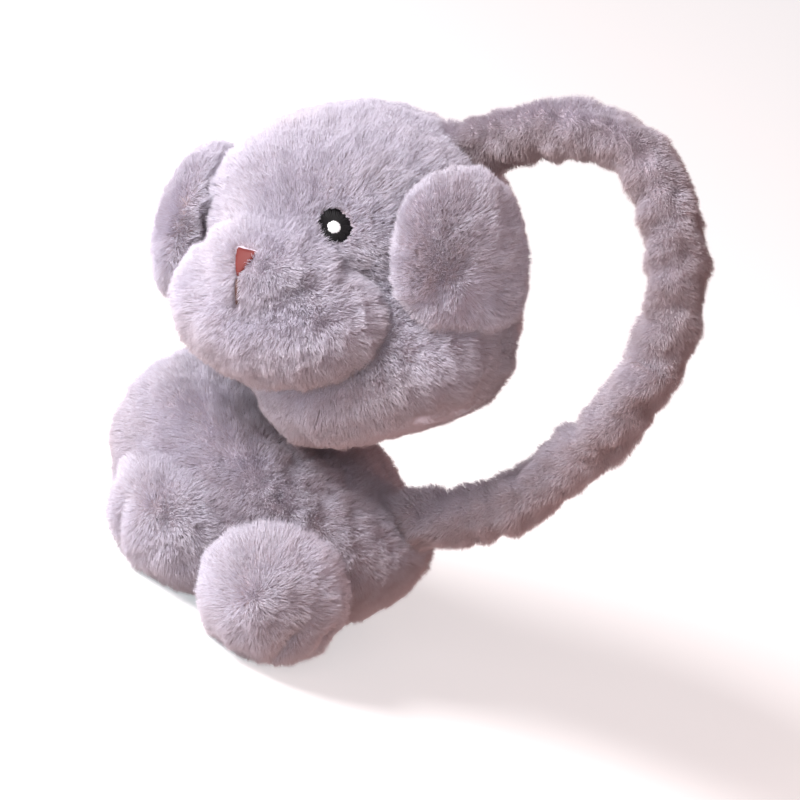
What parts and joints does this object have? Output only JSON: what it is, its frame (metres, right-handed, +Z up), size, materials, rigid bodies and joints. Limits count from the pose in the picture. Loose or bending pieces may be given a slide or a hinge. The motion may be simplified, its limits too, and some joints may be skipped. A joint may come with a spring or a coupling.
{
  "type": "plush animal earmuffs",
  "caption": "Plush dog earmuffs: a dog head muff and a sitting body muff that close into one dog, joined by a folding, fur-covered headband.",
  "frame": {"origin": "middle of the base of the whole object, on the surface the body muff sits on", "axes": "+Z up, the dog faces -Y, and its left side, where the headband loops, is +X"},
  "size_m": [0.1915, 0.1301, 0.2248],
  "materials": {
    "fur": "dense short faux fur, matt with a soft sheen",
    "pad_fur": "short-pile plush",
    "filling": "loose polyester fibre",
    "foam": "soft open-cell foam",
    "plastic": "moulded, matt",
    "steel": "drawn wire",
    "nose_thread": "satin-stitch embroidery",
    "dark_thread": "satin-stitch embroidery",
    "white_thread": "satin-stitch embroidery"
  },
  "bodies": {
    "body_muff": {"body_cover": "fur", "body_pad_cover": "pad_fur", "body_stuffing": "filling", "body_pad_foam": "foam", "body_back_plate": "plastic", "body_pivot_pin": "steel", "leg_left_cover": "fur", "leg_left_stuffing": "filling", "leg_left_toe_stitch_1": "dark_thread", "leg_left_toe_stitch_2": "dark_thread", "leg_right_cover": "fur", "leg_right_stuffing": "filling", "leg_right_toe_stitch_1": "dark_thread", "leg_right_toe_stitch_2": "dark_thread"},
    "lower_arm": {"lower_arm_strip": "plastic", "lower_arm_wadding": "filling", "lower_arm_sleeve": "fur", "lower_fold_pin": "steel"},
    "crown": {"crown_strip": "plastic", "crown_wadding": "filling", "crown_sleeve": "fur"},
    "upper_arm": {"upper_arm_strip": "plastic", "upper_arm_wadding": "filling", "upper_arm_sleeve": "fur", "upper_fold_pin": "steel"},
    "head_muff": {"head_cover": "fur", "head_pad_cover": "pad_fur", "head_stuffing": "filling", "head_pad_foam": "foam", "head_back_plate": "plastic", "head_pivot_pin": "steel", "muzzle_cover": "fur", "muzzle_stuffing": "filling", "nose": "nose_thread", "mouth_stitch": "dark_thread", "eye_left": "dark_thread", "eye_left_glint": "white_thread", "eye_right": "dark_thread", "eye_right_glint": "white_thread"},
    "ear_left": {"ear_left_cover": "fur", "ear_left_wadding": "filling"},
    "ear_right": {"ear_right_cover": "fur", "ear_right_wadding": "filling"}
  },
  "joints": [
    {"name": "body_tilt", "type": "hinge", "parent": "body_muff", "child": "lower_arm", "pos_m": [0.017, 0.0178, 0.044], "axis": [0, 1, 0], "range_deg": [0, 8], "stiffness_Nm_per_rad": 0.05, "springref_deg": -20.05},
    {"name": "lower_fold", "type": "hinge", "parent": "lower_arm", "child": "crown", "pos_m": [0.0669, 0.0178, 0.0906], "axis": [0, 1, 0], "range_deg": [0, 35], "stiffness_Nm_per_rad": 0.3, "springref_deg": -20.05},
    {"name": "upper_fold", "type": "hinge", "parent": "crown", "child": "upper_arm", "pos_m": [0.0588, 0.0178, 0.2075], "axis": [0, 1, 0], "range_deg": [0, 35], "stiffness_Nm_per_rad": 0.3, "springref_deg": -20.05},
    {"name": "head_tilt", "type": "hinge", "parent": "upper_arm", "child": "head_muff", "pos_m": [-0.027, 0.0178, 0.167], "axis": [0, 1, 0], "range_deg": [-8, 0], "stiffness_Nm_per_rad": 0.05, "springref_deg": 20.05},
    {"name": "ear_left_flap", "type": "hinge", "parent": "head_muff", "child": "ear_left", "pos_m": [0.00439, -0.01792, 0.16808], "axis": [-0.0268, -0.9732, -0.2285], "range_deg": [0, 40], "stiffness_Nm_per_rad": 0.004, "springref_deg": -11.46},
    {"name": "ear_right_flap", "type": "hinge", "parent": "head_muff", "child": "ear_right", "pos_m": [-0.08283, -0.00706, 0.13203], "axis": [0.0268, 0.9732, 0.2285], "range_deg": [0, 40], "stiffness_Nm_per_rad": 0.004, "springref_deg": -11.46}
  ]
}
